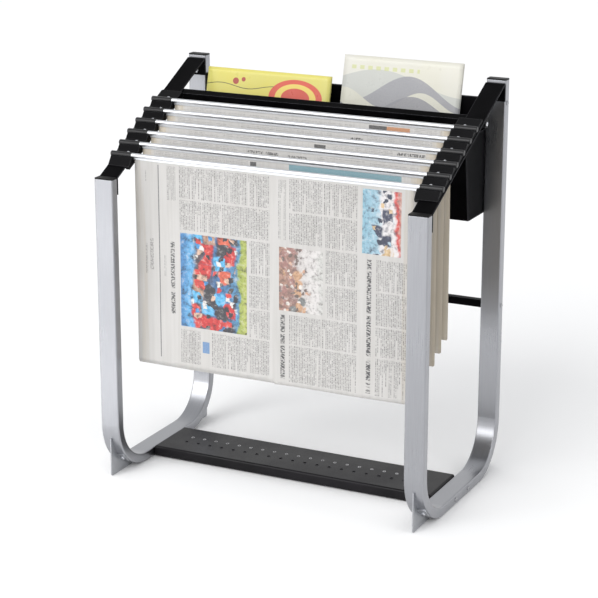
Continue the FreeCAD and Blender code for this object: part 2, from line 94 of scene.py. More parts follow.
def makeCamera():
    data = bpy.data.cameras.new("studioCamera")
    data.lens = studio["lens"]
    data.sensor_width = studio["sensorWidth"]
    a, e = math.radians(studio["azimuth"]), math.radians(studio["elevation"])
    along = Vector((-math.sin(a) * math.cos(e), math.cos(a) * math.cos(e), -math.sin(e)))
    scene.camera = stand(data, studio["cameraPlace"], along)


def makeLamps():
    for name, lamp in studio["lamps"].items():
        data = bpy.data.lights.new(name, "AREA")
        data.shape = "SQUARE"
        data.size = lamp["size"]
        data.energy = lamp["power"]
        data.spread = math.radians(lamp.get("beam", 180))
        stand(data, lamp["place"], Vector(lamp["aim"]) - Vector(lamp["place"])).visible_camera = False
    broad = studio["broadLamp"]
    data = bpy.data.lights.new("broadLamp", "SUN")
    data.angle = math.radians(broad["spread"])
    data.energy = broad["strength"]
    stand(data, broad["place"], Vector(broad["along"])).visible_camera = False
    world = bpy.data.worlds.new("paleRoom")
    world.use_nodes = True
    current["tree"] = world.node_tree
    height = splitXyz(shade("TexCoord", "Generated"))["Z"]
    tint = mixColour(remap(height, 0.1, 0.9), studio["skyLow"], studio["skyHigh"])
    fill(world.node_tree.nodes["Background"], {"Color": tint, "Strength": studio["skyStrength"]})
    scene.world = world
    scene.view_settings.view_transform = "Standard"


# Small helpers for node trees, which work on the tree that was made last
current = {"tree": None}


def newMaterial(name):
    material = bpy.data.materials.new(name)
    material.use_nodes = True
    current["tree"] = material.node_tree
    return material, material.node_tree.nodes["Principled BSDF"]


def fill(node, inputs):
    for key, value in inputs.items():
        socket = node.inputs[key]
        if isinstance(value, bpy.types.NodeSocket):
            current["tree"].links.new(value, socket)
        else:
            socket.default_value = (*value, 1) if socket.type == "RGBA" else value


def put(kind, inputs=None, **settings):
    node = current["tree"].nodes.new(kind)
    for key, value in settings.items():
        setattr(node, key, value)
    fill(node, inputs or {})
    return node


# One output of a new shader node, by its number or name, and the first one of a new geometry node
def shade(kind, output, inputs=None, **settings):
    return put(f"ShaderNode{kind}", inputs, **settings).outputs[output]


def geo(kind, inputs=None, **settings):
    return put(f"GeometryNode{kind}", inputs, **settings).outputs[0]


def calc(operation, a, b=0, clamp=False):
    return shade("Math", 0, {0: a, 1: b}, operation=operation, use_clamp=clamp)


times, over, plus, minus, less, more, absolute = (partial(calc, operation) for operation in (
    "MULTIPLY", "DIVIDE", "ADD", "SUBTRACT", "LESS_THAN", "GREATER_THAN", "ABSOLUTE"))


def scaled(vector, factor):
    return shade("VectorMath", 0, {0: vector, 3: factor}, operation="SCALE")


def splitXyz(vector):
    return put("ShaderNodeSeparateXYZ", {0: vector}).outputs


def joinXyz(x=0, y=0, z=0):
    return shade("CombineXYZ", 0, {0: x, 1: y, 2: z})


def splitRgb(colour):
    return put("ShaderNodeSeparateColor", {0: colour}).outputs


def objectPlace(scale=(1, 1, 1)):
    coords = shade("TexCoord", "Object")
    return shade("Mapping", "Vector", {"Vector": coords, "Scale": scale})


def noiseAt(vector, scale, detail=3, rough=0.5):
    inputs = {"Vector": vector, "Scale": scale, "Detail": detail, "Roughness": rough}
    return shade("TexNoise", "Fac", inputs)


def remap(value, low, high, toLow=0, toHigh=1):
    inputs = {"Value": value, "From Min": low, "From Max": high, "To Min": toLow, "To Max": toHigh}
    return shade("MapRange", "Result", inputs)


def mixColour(factor, a, b, blend="MIX"):
    return shade("Mix", 2, {0: factor, 6: a, 7: b}, data_type="RGBA", blend_type=blend)


def bumpFrom(height, distance, normal=None):
    inputs = {"Height": height, "Distance": distance, "Strength": 1}
    if normal:
        inputs["Normal"] = normal
    return shade("Bump", "Normal", inputs)


# Softened normals at the corners of a surface, and a mask of where these corners are
def softEdges(width):
    bevel = shade("Bevel", "Normal", {"Radius": width}, samples=4)
    flat = shade("NewGeometry", "Normal")
    dot = shade("VectorMath", "Value", {0: bevel, 1: flat}, operation="DOT_PRODUCT")
    return bevel, remap(dot, 0.99, 0.8)


# Satin metal with fine lines, which run along X or else along Y and Z; an "edge" colour gives it lighter
# corners, which stand for wear and a painted edge highlight
def satinMetal(name, look):
    material, shader = newMaterial(name)
    wide = (0.02, 1, 1) if look.get("linesAlong") == "X" else (1, 0.02, 0.02)
    lines = noiseAt(objectPlace(wide), look["lineScale"], 4, 0.6)
    clouds = noiseAt(objectPlace(), look["cloudScale"], 3, 0.55)
    grit = noiseAt(objectPlace(), 1800, 2, 0.6)
    colour = mixColour(remap(lines, 0.25, 0.75), look["dark"], look["light"])
    colour = mixColour(remap(clouds, 0.35, 0.65, 0, look["cloudShare"]), colour, look["dark"])
    rough = plus(remap(lines, 0.2, 0.8, *look["roughness"]), remap(clouds, 0.3, 0.7, -0.02, 0.03))
    rounded = None
    if "edge" in look:
        rounded, wornAndHighlightEdge = softEdges(look["edgeWidth"])
        # Lighter corners: partly wear, partly a painted edge highlight
        colour = mixColour(times(wornAndHighlightEdge, 0.7), colour, look["edge"])
        rough = minus(rough, times(wornAndHighlightEdge, 0.06), clamp=True)
    normal = bumpFrom(plus(lines, times(grit, 0.5)), look["bump"], rounded)
    fill(shader, {"Base Color": colour, "Metallic": 1, "Roughness": rough, "Normal": normal})
    return material


# Black finishes: powder coat and moulded plastic
def darkCoat(name, look):
    material, shader = newMaterial(name)
    place = objectPlace()
    peel = noiseAt(place, look["peelScale"], 2, 0.5)
    dust = noiseAt(place, 9, 4, 0.65)
    speck = noiseAt(place, 2600, 2, 0.7)
    rounded, wornAndHighlightEdge = softEdges(look["edgeWidth"])
    colour = mixColour(remap(dust, 0.35, 0.75), look["dark"], look["light"])
    chipsAndHighlight = times(wornAndHighlightEdge, remap(speck, 0.35, 0.6, 0.35, 1))
    # Corners drawn in the lighter edge colour: partly chipped wear, partly a painted edge highlight
    colour = mixColour(times(chipsAndHighlight, look["wearAndHighlight"]), colour, look["edge"])
    rough = plus(remap(dust, 0.3, 0.7, *look["roughness"]), remap(speck, 0.3, 0.7, -0.04, 0.04))
    rough = minus(rough, times(wornAndHighlightEdge, 0.1), clamp=True)
    normal = bumpFrom(plus(peel, times(speck, 0.25)), look["bump"], rounded)
    fill(shader, {
        "Base Color": colour, "Roughness": rough, "Specular IOR Level": look["specular"], "Normal": normal})
    return material


metalLooks = dict(
    frameAluminium=dict(
        dark=(0.336, 0.341, 0.361), light=(0.385, 0.39, 0.412), edge=(0.68, 0.69, 0.72),
        roughness=(0.27, 0.31), lineScale=900, cloudScale=7, cloudShare=0.2, bump=0.000004,
        edgeWidth=0.0015,
    ),
    hangerAluminium=dict(
        dark=(0.66, 0.67, 0.69), light=(0.77, 0.78, 0.8), roughness=(0.33, 0.41), lineScale=1200,
        cloudScale=12, cloudShare=0.15, bump=0.000005, linesAlong="X",
    ),
    footAluminium=dict(
        dark=(0.4, 0.41, 0.43), light=(0.5, 0.51, 0.53), edge=(0.68, 0.69, 0.71), roughness=(0.34, 0.44),
        lineScale=700, cloudScale=18, cloudShare=0.3, bump=0.00002, edgeWidth=0.0006, linesAlong="X",
    ),
    rodSteel=dict(
        dark=(0.42, 0.43, 0.44), light=(0.6, 0.61, 0.62), roughness=(0.18, 0.3), lineScale=1500,
        cloudScale=14, cloudShare=0.3, bump=0.00001, linesAlong="X",
    ),
    screwZinc=dict(
        dark=(0.62, 0.63, 0.66), light=(0.86, 0.87, 0.9), edge=(0.95, 0.95, 0.97), roughness=(0.18, 0.34),
        lineScale=1600, cloudScale=60, cloudShare=0.35, bump=0.00002, edgeWidth=0.0003,
    ),
    screwSatin=dict(
        dark=(0.44, 0.445, 0.46), light=(0.54, 0.545, 0.56), edge=(0.66, 0.67, 0.69), roughness=(0.36, 0.46),
        lineScale=1600, cloudScale=60, cloudShare=0.35, bump=0.00002, edgeWidth=0.0003,
    ),
)
# The edge colour of each look is drawn on its corners: partly wear, partly a painted edge highlight
coatLooks = dict(
    blackPowderCoat=dict(
        dark=(0.0008, 0.0008, 0.001), light=(0.0044, 0.0041, 0.0049), edge=(0.15, 0.15, 0.165),
        roughness=(0.32, 0.44), specular=0.026, peelScale=900, bump=0.00008, edgeWidth=0.0015, wearAndHighlight=0.8,
    ),
    shelfPowderCoat=dict(
        dark=(0.003, 0.0026, 0.0034), light=(0.0095, 0.0082, 0.0105), edge=(0.1, 0.1, 0.11),
        roughness=(0.3, 0.44), specular=0.2, peelScale=900, bump=0.0001, edgeWidth=0.0008, wearAndHighlight=0.6,
    ),
    combPlastic=dict(
        dark=(0.0016, 0.0015, 0.002), light=(0.0045, 0.0043, 0.0053), edge=(0.16, 0.16, 0.17),
        roughness=(0.3, 0.42), specular=0.08, peelScale=1400, bump=0.00005, edgeWidth=0.0012, wearAndHighlight=0.7,
    ),
    capPlastic=dict(
        dark=(0.004, 0.004, 0.004), light=(0.009, 0.009, 0.0095), edge=(0.05, 0.05, 0.05),
        roughness=(0.42, 0.54), specular=0.14, peelScale=1500, bump=0.00005, edgeWidth=0.0006, wearAndHighlight=0.5,
    ),
    # Light grey rims: a painted highlight for the bright dots of the shelf's rear row of holes
    paintedHighlightRim=dict(
        dark=(0.34, 0.34, 0.35), light=(0.66, 0.66, 0.67), edge=(0.7, 0.7, 0.7), roughness=(0.3, 0.42),
        specular=0.5, peelScale=1500, bump=0.00004, edgeWidth=0.0002, wearAndHighlight=0.4,
    ),
    gripPlastic=dict(
        dark=(0.004, 0.0038, 0.0045), light=(0.009, 0.0085, 0.01), edge=(0.2, 0.195, 0.205),
        roughness=(0.26, 0.36), specular=0.42, peelScale=1300, bump=0.00002, edgeWidth=0.0005, wearAndHighlight=0.6,
    ),
)
slotFinish = dict(
    tube_aluminium="frameAluminium", black_steel="blackPowderCoat", comb_plastic="combPlastic",
    cap_plastic="capPlastic", foot_plate_metal="footAluminium", screw_steel="screwZinc",
    hanger_aluminium="hangerAluminium", rod_steel="rodSteel", grip_plastic="gripPlastic",
)


def dressNodes():
    finishes = {name: satinMetal(name, look) for name, look in metalLooks.items()}
    finishes.update({name: darkCoat(name, look) for name, look in coatLooks.items()})
    for nodeName, node in nodes.items():
        for holder in node.material_slots:
            slotName = holder.material.name.split(".")[0] if holder.material else ""
            if slotName in slotFinish:
                holder.material = finishes[slotFinish[slotName]]
            if nodeName == "bottom_shelf":
                holder.material = finishes["shelfPowderCoat"]
    return finishes


# Geometry Nodes: a tree is built here, run once on a small base mesh, and its result kept as a plain mesh
def newGrowth(name, sizes):
    tree = current["tree"] = bpy.data.node_groups.new(name, "GeometryNodeTree")
    kinds = {int: "Int", float: "Float", tuple: "Vector"}

    def addSocket(label, kind, way="INPUT"):
        return tree.interface.new_socket(label, in_out=way, socket_type=f"NodeSocket{kind}")

    addSocket("Base", "Geometry")
    for label, value in sizes.items():
        addSocket(label, kinds[type(value)]).default_value = value
    addSocket("finish", "Material")
    addSocket("Result", "Geometry", "OUTPUT")
    return put("NodeGroupInput").outputs


def closeGrowth(shape, given):
    real = geo("RealizeInstances", {0: shape})
    coated = geo("SetMaterial", {"Geometry": real, "Material": given["finish"]})
    put("NodeGroupOutput", {0: coated})
    return current["tree"]


def shifted(shape, offset):
    return geo("Transform", {"Geometry": shape, "Translation": offset})


def onPoints(points, shape, **turn):
    return geo("InstanceOnPoints", {"Points": points, "Instance": shape, **turn})


def wireAlong(curve, radius, sides):
    section = geo("CurvePrimitiveCircle", {"Resolution": sides, "Radius": radius})
    return geo("CurveToMesh", {"Curve": curve, "Profile Curve": section, "Fill Caps": True})


def grow(name, base, tree, sizes, finish):
    seedling = addObject(f"{name}Base", base)
    modifier = seedling.modifiers.new("growth", "NODES")
    modifier.node_group = tree
    values = {**sizes, "finish": finish}
    for socket in tree.interface.items_tree:
        if socket.in_out == "INPUT" and socket.name in values:
            modifier[socket.identifier] = values[socket.name]
    graph = bpy.context.evaluated_depsgraph_get()
    mesh = bpy.data.meshes.new_from_object(seedling.evaluated_get(graph))
    mesh.name = name
    seedling.modifiers.remove(modifier)
    bpy.data.objects.remove(seedling)
    return addObject(name, mesh)


# Screws: pan heads with a cross recess, one on each seat
screws = dict(
    short_screws=dict(
        finish="screwZinc", headWidth=0.0075, headHeight=0.0024, shankWidth=0.004, shankLength=0.008),
    long_screws=dict(
        finish="screwSatin", headWidth=0.0075, headHeight=0.0024, shankWidth=0.004, shankLength=0.045),
    comb_screws=dict(
        finish="screwZinc", headWidth=0.0056, headHeight=0.0018, shankWidth=0.003, shankLength=0.012),
)
# Shares of the head's height and width, and the seed of the screws' turns
screwHeads = dict(crown=0.42, recessLength=0.6, recessWidth=0.15, seed=4)


def screwGrowth():
    sizes = {**screws["short_screws"], **screwHeads}
    sizes.pop("finish")
    given = newGrowth("panHeadScrews", sizes)
    height = given["headHeight"]
    radius = times(given["headWidth"], 0.5)
    blank = geo("MeshCylinder", {
        "Vertices": 24, "Side Segments": 3, "Fill Segments": 4, "Radius": radius, "Depth": height})
    blank = shifted(blank, joinXyz(z=times(height, 0.5)))
    x, y, z = splitXyz(geo("InputPosition"))
    out = shade("VectorMath", "Value", {0: joinXyz(x, y)}, operation="LENGTH")
    share = calc("POWER", over(out, radius), 2.6)
    drop = times(times(share, given["crown"]), z)
    crowned = geo("SetPosition", {"Geometry": blank, "Offset": joinXyz(z=times(drop, -1))})
    long = times(given["headWidth"], given["recessLength"])
    narrow = times(given["headWidth"], given["recessWidth"])
    cut = put("GeometryNodeMeshBoolean", {"Mesh 1": crowned}, operation="DIFFERENCE", solver="EXACT")
    top = joinXyz(z=height)
    for a, b in ((long, narrow), (narrow, long)):
        bar = geo("MeshCube", {"Size": joinXyz(a, b, height)})
        fill(cut, {"Mesh 2": shifted(bar, top)})
    bodyRadius = times(given["shankWidth"], 0.5)
    shank = geo("MeshCylinder", {"Vertices": 16, "Radius": bodyRadius, "Depth": given["shankLength"]})
    shank = shifted(shank, joinXyz(z=times(given["shankLength"], -0.498)))
    whole = put("GeometryNodeJoinGeometry", {0: cut.outputs[0]})
    fill(whole, {0: shank})
    axis = geo("InputNamedAttribute", {"Name": "axis"}, data_type="FLOAT_VECTOR")
    aimed = put("FunctionNodeAlignRotationToVector", {"Vector": axis}, axis="Z").outputs[0]
    angle = put("FunctionNodeRandomValue", {3: 1.5, "Seed": given["seed"]}, data_type="FLOAT").outputs[1]
    spin = put("FunctionNodeAxisAngleToRotation", {"Axis": (0, 0, 1), "Angle": angle}).outputs[0]
    turned = put("FunctionNodeRotateRotation", {0: aimed, 1: spin}, rotation_space="LOCAL").outputs[0]
    return closeGrowth(onPoints(given["Base"], whole.outputs[0], Rotation=turned), given)


# Seat and outward direction of each screw in a CAD node, read from its separate shells
def screwSeats(nodeName):
    mesh = bmesh.new()
    mesh.from_mesh(nodes[nodeName].data)
    bmesh.ops.remove_doubles(mesh, verts=mesh.verts, dist=1e-6)
    seen, seats = set(), []
    for first in mesh.verts:
        if first in seen:
            continue
        seen.add(first)
        shell = [first]
        for vert in shell:
            for edge in vert.link_edges:
                other = edge.other_vert(vert)
                if other not in seen:
                    seen.add(other)
                    shell.append(other)
        members = set(shell)
        spread = np.zeros((3, 3))
        for face in mesh.faces:
            if face.verts[0] in members:
                spread += face.calc_area() * np.outer(face.normal, face.normal)
        values, vectors = np.linalg.eigh(spread)
        odd = 0 if values[1] - values[0] > values[2] - values[1] else 2  # the other two are alike
        axis = Vector(vectors[:, odd]).normalized()
        side = axis.orthogonal().normalized()
        points = [vert.co for vert in shell]
        centre = Vector((0, 0, 0))
        for direction in (side, axis.cross(side)):
            reach = [point.dot(direction) for point in points]
            centre += direction * (min(reach) + max(reach)) / 2
        heights = [point.dot(axis) for point in points]
        radii = [(point - centre - axis * height).length for point, height in zip(points, heights)]
        head = [height for height, radius in zip(heights, radii) if radius > 0.9 * max(radii)]
        outward = 1 if sum(head) / len(head) > (min(heights) + max(heights)) / 2 else -1
        seat = min(head) if outward > 0 else max(head)
        seats.append((centre + axis * seat, axis * outward))
    mesh.free()
    return seats


def makeScrews(finishes):
    tree = screwGrowth()
    for nodeName, look in screws.items():
        seats = screwSeats(nodeName)
        points = bpy.data.meshes.new(f"{nodeName}Seats")
        points.from_pydata([tuple(seat) for seat, axis in seats], [], [])
        attribute = points.attributes.new("axis", "FLOAT_VECTOR", "POINT")
        for item, (seat, axis) in zip(attribute.data, seats):
            item.vector = axis
        word = nodeName.split("_")[0]
        piece = grow(f"{word}CrossScrews", points, tree, look, finishes[look["finish"]])
        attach(piece, "rack")
        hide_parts(nodeName)
        print(f"{nodeName}: {len(seats)} screws")


# Rolled rims round the shelf's perforations
perforations = dict(
    columns=20, pitch=0.025, rowGap=0.0245, sunk=0.00005,
    rows=dict(
        frontRowRims=dict(side=-1, rimRadius=0.0029, wire=0.00045, finish="blackPowderCoat"),
        # The rear row's rims are light grey, a painted highlight for the glints and light those holes show
        rearRowRims=dict(side=1, rimRadius=0.0026, wire=0.0005, finish="paintedHighlightRim"),
    ),
)


def makePerforationRims(finishes):
    low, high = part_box("bottom_shelf")
    look = perforations
    sizes = {"columns": look["columns"], "length": look["pitch"] * (look["columns"] - 1), "rimRadius": 0.0026,
             "wire": 0.0002, "centre": (0, 0, 0)}
    given = newGrowth("perforationRims", sizes)
    row = geo("MeshGrid", {
        "Size X": given["length"], "Size Y": 0, "Vertices X": given["columns"], "Vertices Y": 2})
    row = geo("MergeByDistance", {"Geometry": row})
    ring = geo("CurvePrimitiveCircle", {"Resolution": 18, "Radius": given["rimRadius"]})
    placed = onPoints(row, wireAlong(ring, given["wire"], 6))
    tree = closeGrowth(shifted(placed, given["centre"]), given)
    for name, rowLook in look["rows"].items():
        away = rowLook["side"] * look["rowGap"] / 2
        centre = ((low.x + high.x) / 2, (low.y + high.y) / 2 + away, high.z - look["sunk"])
        values = {**sizes, **rowLook, "centre": centre}
        piece = grow(name, bpy.data.meshes.new(f"{name}Base"), tree, values, finishes[rowLook["finish"]])
        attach(piece, "rack")


# Paper: the "page" map holds metres from each block's own corner, x across the rows and y along them, with a
# new stride of y for each block; the "block" map runs from 0 to 1 over it. "glyph" holds the parts of a row's
# height and the width of a letter
newsprint = dict(
    paper=(0.7, 0.685, 0.667), paperShade=(0.625, 0.61, 0.588), ink=(0.05, 0.05, 0.055),
    endTanTint=(1, 0.915, 0.775), roughness=(0.72, 0.88), stride=0.7,
    rows=dict(
        text=dict(pitch=0.0032, word=0.0075, weight=0.3, ink=0.66, short=0.16, glyph=(1, 0.0012)),
        small=dict(pitch=0.0026, word=0.006, weight=0.29, ink=0.62, short=0.1, glyph=(0.9, 0.001)),
        head=dict(pitch=0.016, word=0.01, weight=0.26, ink=0.96, short=0, glyph=(2.8, 0.0026)),
        thin=dict(pitch=0.012, word=0.012, weight=0.3, ink=0.62, short=0, glyph=(3, 0.0024)),
        across=dict(
            pitch=0.003, word=0.008, weight=0.27, ink=0.3, short=0.3, glyph=(0.8, 0.0014), turned=True,
        ),
        topHead=dict(
            pitch=0.0085, word=0.015, weight=0.3, ink=0.94, short=0, glyph=(2.4, 0.0026), turned=True,
        ),
    ),
)


def pagePlace(layer="page"):
    return shade("UVMap", "UV", uv_map=layer)


def attributeAt(name):
    return shade("Attribute", "Fac", attribute_name=name, attribute_type="GEOMETRY")


def paperGround(shader):
    place = objectPlace()
    fibres = noiseAt(place, 900, 4, 0.7)
    soft = noiseAt(place, 11)
    fleck = noiseAt(place, 320, 2, 0.8)
    pleats = noiseAt(objectPlace((1, 1, 0.03)), 150, 3, 0.6)
    # Paper grain mottle, plus the pleat streaks, which darken the colour as painted shade of the paper's
    # waves
    mottleAndPleatShade = times(remap(fibres, 0.3, 0.7), 0.3)
    mottleAndPleatShade = plus(mottleAndPleatShade, remap(soft, 0.3, 0.75, 0, 0.5))
    mottleAndPleatShade = plus(mottleAndPleatShade, remap(fleck, 0.66, 0.8, 0, 0.6))
    mottleAndPleatShade = plus(mottleAndPleatShade, remap(pleats, 0.42, 0.66, 0, 0.6), clamp=True)
    colour = mixColour(mottleAndPleatShade, newsprint["paper"], newsprint["paperShade"])
    # Painted light: the colour is scaled by a per-point level, paler at the folds where shade falls between
    # the hangers
    colour = mixColour(1, colour, attributeAt("paintedLight"), "MULTIPLY")
    # A tan tint toward the ends of each paper, over a margin, stronger along the pleat streaks
    age = attributeAt("age")
    tanMask = plus(age, remap(pleats, 0.4, 0.62, -0.12, 0.3), clamp=True)
    tanMask = times(tanMask, more(age, 0.001))
    colour = mixColour(tanMask, colour, mixColour(1, colour, newsprint["endTanTint"], "MULTIPLY"))
    rough = remap(fibres, 0.3, 0.7, *newsprint["roughness"])
    height = plus(fibres, times(soft, 2))
    normal = bumpFrom(height, 0.00006, bumpFrom(pleats, 0.0005))
    fill(shader, {"Roughness": rough, "Specular IOR Level": 0.25, "Normal": normal})
    return colour


# What is printed on the paper: each of these takes the bare paper's colour and gives the printed one. Rows
# are grey marks, which stand for print without being it
def printedRows(ground, look):
    x, y = splitXyz(pagePlace())[:2]
    block = calc("FLOOR", over(y, newsprint["stride"]))
    down = minus(y, times(block, newsprint["stride"]))
    across, along = (down, x) if look.get("turned") else (x, down)
    steps = over(across, look["pitch"])
    row = plus(calc("FLOOR", steps), times(block, 41))
    offMiddle = absolute(minus(calc("FRACT", steps), 0.5))
    stroke = remap(offMiddle, look["weight"] - 0.05, look["weight"] + 0.05, 1, 0)
    cell = joinXyz(times(row, 3.7), over(along, look["word"]))
    words = remap(noiseAt(cell, 1, 1), 0.32, 0.4)
    chance = put("ShaderNodeTexWhiteNoise", {"W": row}, noise_dimensions="1D").outputs
    short = less(chance["Value"], look["short"])
    past = more(along, remap(splitRgb(chance["Color"])[1], 0, 1, 0.008, 0.05))
    whole = minus(1, times(short, past))
    parts, glyph = look["glyph"]
    speck = joinXyz(times(steps, parts), over(along, glyph), row)
    letters = remap(noiseAt(speck, 1, 1), 0.44, 0.52, 0.1, 1)
    weight = remap(splitRgb(chance["Color"])[2], 0, 1, 0.7, 1)
    ink = times(times(stroke, words), times(whole, letters))
    return mixColour(times(times(ink, weight), look["ink"]), ground, newsprint["ink"])


def printedTint(ground, colour, amount):
    grain = noiseAt(pagePlace(), 420, 3, 0.6)
    return mixColour(remap(grain, 0.3, 0.7, amount - 0.2, amount), ground, colour)


# A picture: rugged bands across it, blocks of colour in its middle, light and shade over all
def printedPicture(ground, look):
    x = splitXyz(pagePlace("block"))["X"]
    place = pagePlace()
    rough = noiseAt(place, look["hillScale"], 7, 0.62)
    level = plus(x, remap(rough, 0.25, 0.75, -look["rugged"], look["rugged"]))
    colour = pictureRamp(level, look["bands"], "EASE")
    bend = shade("TexNoise", "Color", {"Vector": place, "Scale": look["blockScale"] * 0.7, "Detail": 3})
    drift = shade("VectorMath", 0, {0: bend, 1: (0.5, 0.5, 0.5)}, operation="SUBTRACT")
    drift = scaled(drift, look["bend"])
    moved = shade("VectorMath", 0, {0: place, 1: drift}, operation="ADD")
    low, high = look["blockBand"]
    half = (high - low) / 2
    inside = remap(absolute(minus(level, (low + high) / 2)), half + 0.02, half - 0.02)
    for scale, share, palette in (
        (look["blockScale"], look["share"], look["accents"]),
        (look["blockScale"] * 2.6, look["share"] * 0.55, look["smallAccents"]),
    ):
        cells = put("ShaderNodeTexVoronoi", {"Vector": moved, "Scale": scale, "Randomness": 0.85},
                    voronoi_dimensions="2D", distance=look["shape"]).outputs
        pick = splitRgb(cells["Color"])
        chosen = more(pick[1], 1 - share)
        tint = pictureRamp(pick[0], palette, "CONSTANT")
        edge = remap(cells["Distance"], 0.62, 0.45)
        colour = mixColour(times(times(chosen, edge), inside), colour, tint)
    light = noiseAt(moved, look["blockScale"] * 2.2, 5, 0.66)
    colour = mixColour(remap(light, 0.5, 0.68, 0, look["depth"]), colour, look["dark"])
    colour = mixColour(remap(light, 0.46, 0.3, 0, look["shine"]), colour, look["glint"])
    return mixColour(0.92, ground, colour)


def pictureRamp(value, stops, ease):
    ramp = put("ShaderNodeValToRGB", {0: value})
    ramp.color_ramp.interpolation = ease
    while len(ramp.color_ramp.elements) < len(stops):
        ramp.color_ramp.elements.new(0.5)
    for element, (spot, *colour) in zip(ramp.color_ramp.elements, stops):
        element.position = spot
        element.color = (*colour, 1)
    return ramp.outputs["Color"]


pictures = dict(
    pictureMany=dict(
        hillScale=24, rugged=0.07, blockScale=42, bend=0.012, share=0.78, shape="CHEBYCHEV",
        blockBand=(0.2, 0.84), depth=0.88, shine=0.5, dark=(0.02, 0.022, 0.03), glint=(0.66, 0.62, 0.58),
        bands=[
            (0, 0.06, 0.2, 0.42), (0.16, 0.12, 0.36, 0.62), (0.26, 0.1, 0.07, 0.08),
            (0.62, 0.05, 0.16, 0.34), (0.86, 0.09, 0.24, 0.4), (0.9, 0.3, 0.36, 0.08), (1, 0.4, 0.44, 0.12),
        ],
        accents=[
            (0, 0.52, 0.04, 0.04), (0.3, 0.1, 0.4, 0.66), (0.48, 0.4, 0.24, 0.17), (0.6, 0.05, 0.05, 0.06),
            (0.78, 0.6, 0.58, 0.56), (0.88, 0.6, 0.12, 0.07),
        ],
        smallAccents=[
            (0, 0.04, 0.04, 0.05), (0.34, 0.62, 0.42, 0.32), (0.52, 0.66, 0.64, 0.62),
            (0.7, 0.06, 0.26, 0.54), (0.86, 0.58, 0.06, 0.05),
        ],
    ),
    pictureBrown=dict(
        hillScale=34, rugged=0.24, blockScale=60, bend=0.014, share=0.45, shape="EUCLIDEAN",
        blockBand=(0.05, 0.62), depth=0.72, shine=0.6, dark=(0.09, 0.075, 0.07), glint=(0.68, 0.66, 0.64),
        bands=[
            (0, 0.36, 0.21, 0.16), (0.36, 0.28, 0.17, 0.15), (0.5, 0.5, 0.47, 0.46), (0.8, 0.6, 0.58, 0.57),
            (1, 0.5, 0.5, 0.48),
        ],
        accents=[
            (0, 0.5, 0.3, 0.18), (0.35, 0.33, 0.18, 0.16), (0.6, 0.18, 0.19, 0.19), (0.8, 0.64, 0.58, 0.52),
        ],
        smallAccents=[(0, 0.16, 0.12, 0.11), (0.4, 0.56, 0.34, 0.24), (0.7, 0.66, 0.62, 0.58)],
    ),
    pictureBlue=dict(
        hillScale=26, rugged=0.13, blockScale=48, bend=0.016, share=0.42, shape="CHEBYCHEV",
        blockBand=(0.24, 0.8), depth=0.82, shine=0.55, dark=(0.03, 0.035, 0.06), glint=(0.72, 0.7, 0.69),
        bands=[
            (0, 0.22, 0.4, 0.5), (0.36, 0.3, 0.46, 0.55), (0.52, 0.64, 0.62, 0.63),
            (0.84, 0.66, 0.63, 0.63), (0.92, 0.56, 0.07, 0.06), (1, 0.5, 0.3, 0.26),
        ],
        accents=[
            (0, 0.54, 0.38, 0.2), (0.3, 0.05, 0.06, 0.1), (0.55, 0.62, 0.6, 0.6), (0.78, 0.6, 0.16, 0.1),
        ],
        smallAccents=[(0, 0.04, 0.05, 0.08), (0.4, 0.6, 0.44, 0.26), (0.7, 0.3, 0.46, 0.56)],
    ),
)


tints = dict(
    teal=(0.17, 0.36, 0.43), blueSpot=(0.1, 0.22, 0.42), darkBar=(0.05, 0.05, 0.055),
    orange=(0.62, 0.26, 0.1),
)


def makePapers():
    finishes = {}

    def paper(kind, printed, *values):
        finishes[kind], shader = newMaterial(f"newsprint{kind[0].upper()}{kind[1:]}")
        fill(shader, {"Base Color": printed(paperGround(shader), *values)})

    paper("bare", lambda ground: ground)
    paper("rule", printedTint, (0.1, 0.1, 0.11), 0.85)
    for kind, look in newsprint["rows"].items():
        paper(kind, printedRows, look)
    for kind, look in pictures.items():
        paper(kind, printedPicture, look)
    for kind, colour in tints.items():
        paper(kind, printedTint, colour, 0.9)
    return finishes


# Page layouts in millimetres: left, right, near and far distance from the spine, and what is printed there.
# Where that isn't said, it is text on the front page, which is then a little wider, and "across" in the tops
frontPage = [
    (-226, -224, 12, 372, "rule"), (-247, -235, 148, 206, "thin"), (-254, -250, 158, 214, "small"),
    (-252, -249, 24, 44, "small"), (-206, -190, 150, 284, "head"), (-216, -212, 176, 216, "small"),
    (-208, -190, 12, 74, "small"), (-182, -96, 12, 66), (-92, -48, 12, 66), (-44, -4, 12, 66),
    (-182, -140, 72, 124), (-136, -100, 72, 124), (-96, -4, 72, 124), (-182, -48, 131, 305, "pictureMany"),
    (-42, -4, 131, 188), (-42, -4, 194, 250), (-42, -4, 256, 306), (-182, -144, 312, 375),
    (-138, -124, 330, 352, "blueSpot"), (-118, -4, 312, 375), (14, 30, 14, 120, "small"), (36, 98, 12, 66),
    (102, 164, 12, 66), (36, 98, 72, 124), (102, 164, 72, 124), (16, 100, 133, 248, "pictureBrown"),
    (106, 164, 131, 188), (106, 164, 194, 250), (15, 31, 256, 374, "head"), (36, 96, 256, 306),
    (100, 164, 256, 306), (36, 96, 312, 377), (100, 164, 312, 377), (174, 246, 13, 126, "pictureBlue"),
    (180, 196, 136, 376, "head"), (202, 260, 136, 188), (202, 260, 194, 250), (202, 260, 256, 306),
    (202, 260, 312, 377),
]
textSpread = 1.2
